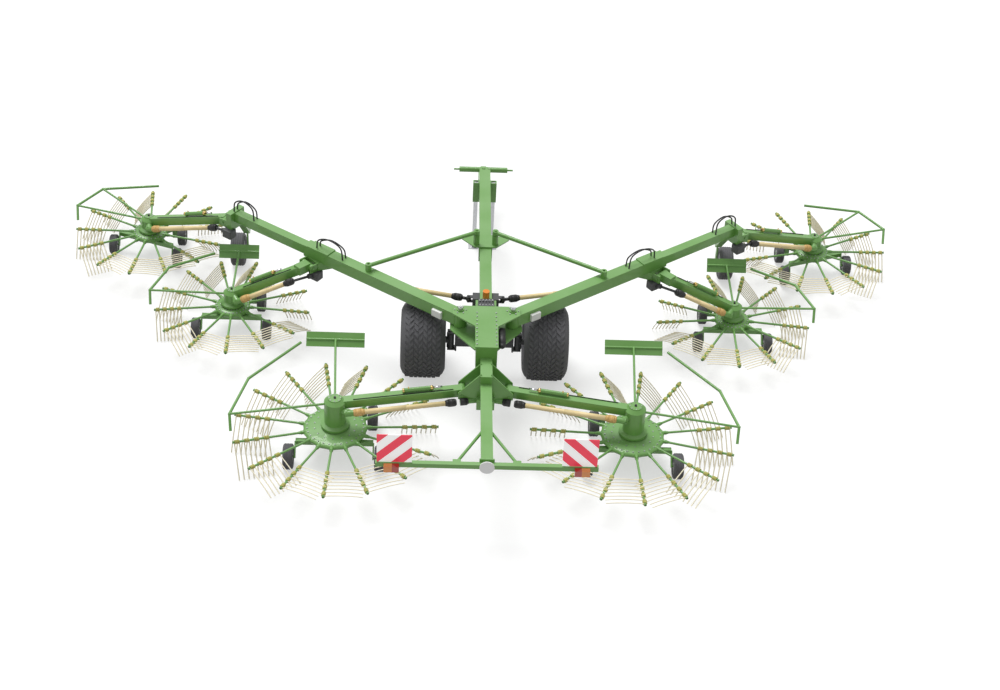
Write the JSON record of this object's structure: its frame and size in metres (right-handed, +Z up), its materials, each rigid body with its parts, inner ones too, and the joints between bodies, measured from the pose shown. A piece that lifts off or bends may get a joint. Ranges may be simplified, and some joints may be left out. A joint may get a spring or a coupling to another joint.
{
  "type": "six-rotor rotary rake",
  "caption": "Towed rotary rake with tined rotors on two swept booms and two rear arms, a steered axle, a drawbar with headstock and a lamp bar behind.",
  "frame": {"origin": "on the ground under the middle of the bounding box", "axes": "+X to the right across the booms, +Y forward to the headstock, +Z up"},
  "size_m": [15.654, 9.895, 2.05],
  "materials": {
    "green_paint": "gloss",
    "dark_steel": "satin",
    "zinc": "satin",
    "rotor": "satin",
    "shaft_guard": "matte",
    "tyre": "matte",
    "warning_red": "satin",
    "lamp": "gloss"
  },
  "bodies": {
    "chassis": {"main_frame": "green_paint", "axle_beam": "dark_steel", "drawbar": "green_paint", "main_drive": "dark_steel", "lamp_bar": "green_paint", "warning_boards": "warning_red", "lamps": "lamp"},
    "headstock": {"headstock": "green_paint"},
    "jack": {"jack": "zinc"},
    "fold_carriage": {"fold_carriage": "green_paint"},
    "knuckle_left": {"knuckle_left": "dark_steel"},
    "main_wheel_left": {"main_wheel_left": "tyre"},
    "boom_left": {"boom_left": "green_paint"},
    "boom_shaft_left": {"boom_shaft_left": "shaft_guard"},
    "outer_boom_left": {"outer_boom_left": "green_paint"},
    "stay_left": {"stay_left": "green_paint"},
    "boom_wheel_left": {"boom_wheel_left": "tyre"},
    "knuckle_right": {"knuckle_right": "dark_steel"},
    "main_wheel_right": {"main_wheel_right": "tyre"},
    "boom_right": {"boom_right": "green_paint"},
    "boom_shaft_right": {"boom_shaft_right": "shaft_guard"},
    "outer_boom_right": {"outer_boom_right": "green_paint"},
    "stay_right": {"stay_right": "green_paint"},
    "boom_wheel_right": {"boom_wheel_right": "tyre"},
    "carrier_outer_left": {"carrier_outer_left": "green_paint", "shaft_outer_left": "shaft_guard"},
    "rotor_outer_left": {"rotor_outer_left": "rotor"},
    "wheel_front_outer_left": {"wheel_front_outer_left": "tyre"},
    "wheel_inner_outer_left": {"wheel_inner_outer_left": "tyre"},
    "wheel_outer_outer_left": {"wheel_outer_outer_left": "tyre"},
    "carrier_outer_right": {"carrier_outer_right": "green_paint", "shaft_outer_right": "shaft_guard"},
    "rotor_outer_right": {"rotor_outer_right": "rotor"},
    "wheel_front_outer_right": {"wheel_front_outer_right": "tyre"},
    "wheel_inner_outer_right": {"wheel_inner_outer_right": "tyre"},
    "wheel_outer_outer_right": {"wheel_outer_outer_right": "tyre"},
    "carrier_mid_left": {"carrier_mid_left": "green_paint", "shaft_mid_left": "shaft_guard"},
    "rotor_mid_left": {"rotor_mid_left": "rotor"},
    "wheel_front_mid_left": {"wheel_front_mid_left": "tyre"},
    "wheel_inner_mid_left": {"wheel_inner_mid_left": "tyre"},
    "wheel_outer_mid_left": {"wheel_outer_mid_left": "tyre"},
    "carrier_mid_right": {"carrier_mid_right": "green_paint", "shaft_mid_right": "shaft_guard"},
    "rotor_mid_right": {"rotor_mid_right": "rotor"},
    "wheel_front_mid_right": {"wheel_front_mid_right": "tyre"},
    "wheel_inner_mid_right": {"wheel_inner_mid_right": "tyre"},
    "wheel_outer_mid_right": {"wheel_outer_mid_right": "tyre"},
    "carrier_rear_left": {"carrier_rear_left": "green_paint", "shaft_rear_left": "shaft_guard"},
    "rotor_rear_left": {"rotor_rear_left": "rotor"},
    "wheel_front_rear_left": {"wheel_front_rear_left": "tyre"},
    "wheel_inner_rear_left": {"wheel_inner_rear_left": "tyre"},
    "wheel_outer_rear_left": {"wheel_outer_rear_left": "tyre"},
    "carrier_rear_right": {"carrier_rear_right": "green_paint", "shaft_rear_right": "shaft_guard"},
    "rotor_rear_right": {"rotor_rear_right": "rotor"},
    "wheel_front_rear_right": {"wheel_front_rear_right": "tyre"},
    "wheel_inner_rear_right": {"wheel_inner_rear_right": "tyre"},
    "wheel_outer_rear_right": {"wheel_outer_rear_right": "tyre"}
  },
  "joints": [
    {"name": "headstock_swivel", "type": "hinge", "parent": "chassis", "child": "headstock", "pos_m": [0, 4.6925, 0.8], "axis": [0, 0, 1], "range_deg": [-60, 60]},
    {"name": "jack_slide", "type": "slide", "parent": "chassis", "child": "jack", "axis": [0, 0, 1], "range_m": [0, 0.4]},
    {"name": "steer_left", "type": "hinge", "parent": "chassis", "child": "knuckle_left", "pos_m": [-0.6, -0.6075, 0.69], "axis": [0, 0, 1], "range_deg": [-20, 20]},
    {"name": "main_wheel_spin_left", "type": "hinge", "parent": "knuckle_left", "child": "main_wheel_left", "pos_m": [-1.08, -0.6075, 0.69], "axis": [1, 0, 0], "continuous": true},
    {"name": "boom_swing_left", "type": "hinge", "parent": "chassis", "child": "boom_left", "pos_m": [-0.45, -1.1675, 1.6], "axis": [0, 0, 1], "range_deg": [-45, 0]},
    {"name": "boom_reach_left", "type": "slide", "parent": "boom_left", "child": "outer_boom_left", "axis": [-0.8141, 0.5807, 0], "range_m": [0, 1.2]},
    {"name": "boom_wheel_spin_left", "type": "hinge", "parent": "outer_boom_left", "child": "boom_wheel_left", "pos_m": [-4.68385, 2.54034, 0.32], "axis": [1, 0, 0], "continuous": true},
    {"name": "shaft_turn_left", "type": "hinge", "parent": "chassis", "child": "boom_shaft_left", "pos_m": [-0.3, -0.3375, 1.4], "axis": [0, 0, 1], "range_deg": [-58.35, 0]},
    {"name": "stay_turn_left", "type": "hinge", "parent": "fold_carriage", "child": "stay_left", "pos_m": [-0.17, 1.1425, 1.8], "axis": [0, 0, 1], "range_deg": [0, 43.1]},
    {"name": "steer_right", "type": "hinge", "parent": "chassis", "child": "knuckle_right", "pos_m": [0.6, -0.6075, 0.69], "axis": [0, 0, 1], "range_deg": [-20, 20]},
    {"name": "main_wheel_spin_right", "type": "hinge", "parent": "knuckle_right", "child": "main_wheel_right", "pos_m": [1.08, -0.6075, 0.69], "axis": [1, 0, 0], "continuous": true},
    {"name": "boom_swing_right", "type": "hinge", "parent": "chassis", "child": "boom_right", "pos_m": [0.45, -1.1675, 1.6], "axis": [0, 0, 1], "range_deg": [0, 45]},
    {"name": "boom_reach_right", "type": "slide", "parent": "boom_right", "child": "outer_boom_right", "axis": [0.8141, 0.5807, 0], "range_m": [0, 1.2]},
    {"name": "boom_wheel_spin_right", "type": "hinge", "parent": "outer_boom_right", "child": "boom_wheel_right", "pos_m": [4.68385, 2.54034, 0.32], "axis": [1, 0, 0], "continuous": true},
    {"name": "shaft_turn_right", "type": "hinge", "parent": "chassis", "child": "boom_shaft_right", "pos_m": [0.3, -0.3375, 1.4], "axis": [0, 0, 1], "range_deg": [0, 58.35]},
    {"name": "stay_turn_right", "type": "hinge", "parent": "fold_carriage", "child": "stay_right", "pos_m": [0.17, 1.1425, 1.8], "axis": [0, 0, 1], "range_deg": [-43.1, 0]},
    {"name": "carriage_slide", "type": "slide", "parent": "chassis", "child": "fold_carriage", "axis": [0, 1, 0], "range_m": [0, 1.8064]},
    {"name": "lift_outer_left", "type": "hinge", "parent": "outer_boom_left", "child": "carrier_outer_left", "pos_m": [-4.78109, 1.92184, 1.43], "axis": [0.4862, 0.8739, 0], "range_deg": [0, 90]},
    {"name": "rotor_spin_outer_left", "type": "hinge", "parent": "carrier_outer_left", "child": "rotor_outer_left", "pos_m": [-6.4, 2.8225, 0.5], "axis": [0, 0, 1], "continuous": true},
    {"name": "wheel_front_spin_outer_left", "type": "hinge", "parent": "carrier_outer_left", "child": "wheel_front_outer_left", "pos_m": [-5.84, 3.1225, 0.19], "axis": [1, 0, 0], "continuous": true},
    {"name": "wheel_inner_spin_outer_left", "type": "hinge", "parent": "carrier_outer_left", "child": "wheel_inner_outer_left", "pos_m": [-5.84, 2.3725, 0.19], "axis": [1, 0, 0], "continuous": true},
    {"name": "wheel_outer_spin_outer_left", "type": "hinge", "parent": "carrier_outer_left", "child": "wheel_outer_outer_left", "pos_m": [-7.1, 2.7725, 0.19], "axis": [1, 0, 0], "continuous": true},
    {"name": "lift_outer_right", "type": "hinge", "parent": "outer_boom_right", "child": "carrier_outer_right", "pos_m": [4.78109, 1.92184, 1.43], "axis": [0.4862, -0.8739, 0], "range_deg": [0, 90]},
    {"name": "rotor_spin_outer_right", "type": "hinge", "parent": "carrier_outer_right", "child": "rotor_outer_right", "pos_m": [6.4, 2.8225, 0.5], "axis": [0, 0, 1], "continuous": true},
    {"name": "wheel_front_spin_outer_right", "type": "hinge", "parent": "carrier_outer_right", "child": "wheel_front_outer_right", "pos_m": [5.84, 3.1225, 0.19], "axis": [1, 0, 0], "continuous": true},
    {"name": "wheel_inner_spin_outer_right", "type": "hinge", "parent": "carrier_outer_right", "child": "wheel_inner_outer_right", "pos_m": [5.84, 2.3725, 0.19], "axis": [1, 0, 0], "continuous": true},
    {"name": "wheel_outer_spin_outer_right", "type": "hinge", "parent": "carrier_outer_right", "child": "wheel_outer_outer_right", "pos_m": [7.1, 2.7725, 0.19], "axis": [1, 0, 0], "continuous": true},
    {"name": "lift_mid_left", "type": "hinge", "parent": "boom_left", "child": "carrier_mid_left", "pos_m": [-3.1871, 0.50234, 1.43], "axis": [-0.6756, 0.7373, 0], "range_deg": [0, 90]},
    {"name": "rotor_spin_mid_left", "type": "hinge", "parent": "carrier_mid_left", "child": "rotor_mid_left", "pos_m": [-4.58, 0.5225, 0.5], "axis": [0, 0, 1], "continuous": true},
    {"name": "wheel_front_spin_mid_left", "type": "hinge", "parent": "carrier_mid_left", "child": "wheel_front_mid_left", "pos_m": [-4.11, 1.0425, 0.19], "axis": [1, 0, 0], "continuous": true},
    {"name": "wheel_inner_spin_mid_left", "type": "hinge", "parent": "carrier_mid_left", "child": "wheel_inner_mid_left", "pos_m": [-3.94, 0.1825, 0.19], "axis": [1, 0, 0], "continuous": true},
    {"name": "wheel_outer_spin_mid_left", "type": "hinge", "parent": "carrier_mid_left", "child": "wheel_outer_mid_left", "pos_m": [-5.22, 0.1825, 0.19], "axis": [1, 0, 0], "continuous": true},
    {"name": "lift_mid_right", "type": "hinge", "parent": "boom_right", "child": "carrier_mid_right", "pos_m": [3.1871, 0.50234, 1.43], "axis": [-0.6756, -0.7373, 0], "range_deg": [0, 90]},
    {"name": "rotor_spin_mid_right", "type": "hinge", "parent": "carrier_mid_right", "child": "rotor_mid_right", "pos_m": [4.58, 0.5225, 0.5], "axis": [0, 0, 1], "continuous": true},
    {"name": "wheel_front_spin_mid_right", "type": "hinge", "parent": "carrier_mid_right", "child": "wheel_front_mid_right", "pos_m": [4.11, 1.0425, 0.19], "axis": [1, 0, 0], "continuous": true},
    {"name": "wheel_inner_spin_mid_right", "type": "hinge", "parent": "carrier_mid_right", "child": "wheel_inner_mid_right", "pos_m": [3.94, 0.1825, 0.19], "axis": [1, 0, 0], "continuous": true},
    {"name": "wheel_outer_spin_mid_right", "type": "hinge", "parent": "carrier_mid_right", "child": "wheel_outer_mid_right", "pos_m": [5.22, 0.1825, 0.19], "axis": [1, 0, 0], "continuous": true},
    {"name": "lift_rear_left", "type": "hinge", "parent": "chassis", "child": "carrier_rear_left", "pos_m": [-0.4, -2.5075, 1.08], "axis": [0, 1, 0], "range_deg": [0, 90]},
    {"name": "rotor_spin_rear_left", "type": "hinge", "parent": "carrier_rear_left", "child": "rotor_rear_left", "pos_m": [-2.5, -2.8875, 0.5], "axis": [0, 0, 1], "continuous": true},
    {"name": "wheel_front_spin_rear_left", "type": "hinge", "parent": "carrier_rear_left", "child": "wheel_front_rear_left", "pos_m": [-1.9, -2.2675, 0.22], "axis": [1, 0, 0], "continuous": true},
    {"name": "wheel_inner_spin_rear_left", "type": "hinge", "parent": "carrier_rear_left", "child": "wheel_inner_rear_left", "pos_m": [-1.74, -3.3175, 0.22], "axis": [1, 0, 0], "continuous": true},
    {"name": "wheel_outer_spin_rear_left", "type": "hinge", "parent": "carrier_rear_left", "child": "wheel_outer_rear_left", "pos_m": [-3.26, -3.3175, 0.22], "axis": [1, 0, 0], "continuous": true},
    {"name": "lift_rear_right", "type": "hinge", "parent": "chassis", "child": "carrier_rear_right", "pos_m": [0.4, -2.5075, 1.08], "axis": [0, -1, 0], "range_deg": [0, 90]},
    {"name": "rotor_spin_rear_right", "type": "hinge", "parent": "carrier_rear_right", "child": "rotor_rear_right", "pos_m": [2.5, -2.8875, 0.5], "axis": [0, 0, 1], "continuous": true},
    {"name": "wheel_front_spin_rear_right", "type": "hinge", "parent": "carrier_rear_right", "child": "wheel_front_rear_right", "pos_m": [1.9, -2.2675, 0.22], "axis": [1, 0, 0], "continuous": true},
    {"name": "wheel_inner_spin_rear_right", "type": "hinge", "parent": "carrier_rear_right", "child": "wheel_inner_rear_right", "pos_m": [1.74, -3.3175, 0.22], "axis": [1, 0, 0], "continuous": true},
    {"name": "wheel_outer_spin_rear_right", "type": "hinge", "parent": "carrier_rear_right", "child": "wheel_outer_rear_right", "pos_m": [3.26, -3.3175, 0.22], "axis": [1, 0, 0], "continuous": true}
  ],
  "couplings": [
    {"joint": "steer_right", "follows": "steer_left", "ratio": 1},
    {"joint": "boom_swing_left", "follows": "boom_swing_right", "ratio": -1},
    {"joint": "carriage_slide", "follows": "boom_swing_right", "m_per_rad": 2.2977},
    {"joint": "stay_turn_left", "follows": "boom_swing_right", "ratio": 0.95684},
    {"joint": "shaft_turn_left", "follows": "boom_swing_right", "ratio": -1.2953},
    {"joint": "stay_turn_right", "follows": "boom_swing_right", "ratio": -0.95684},
    {"joint": "shaft_turn_right", "follows": "boom_swing_right", "ratio": 1.2953}
  ]
}
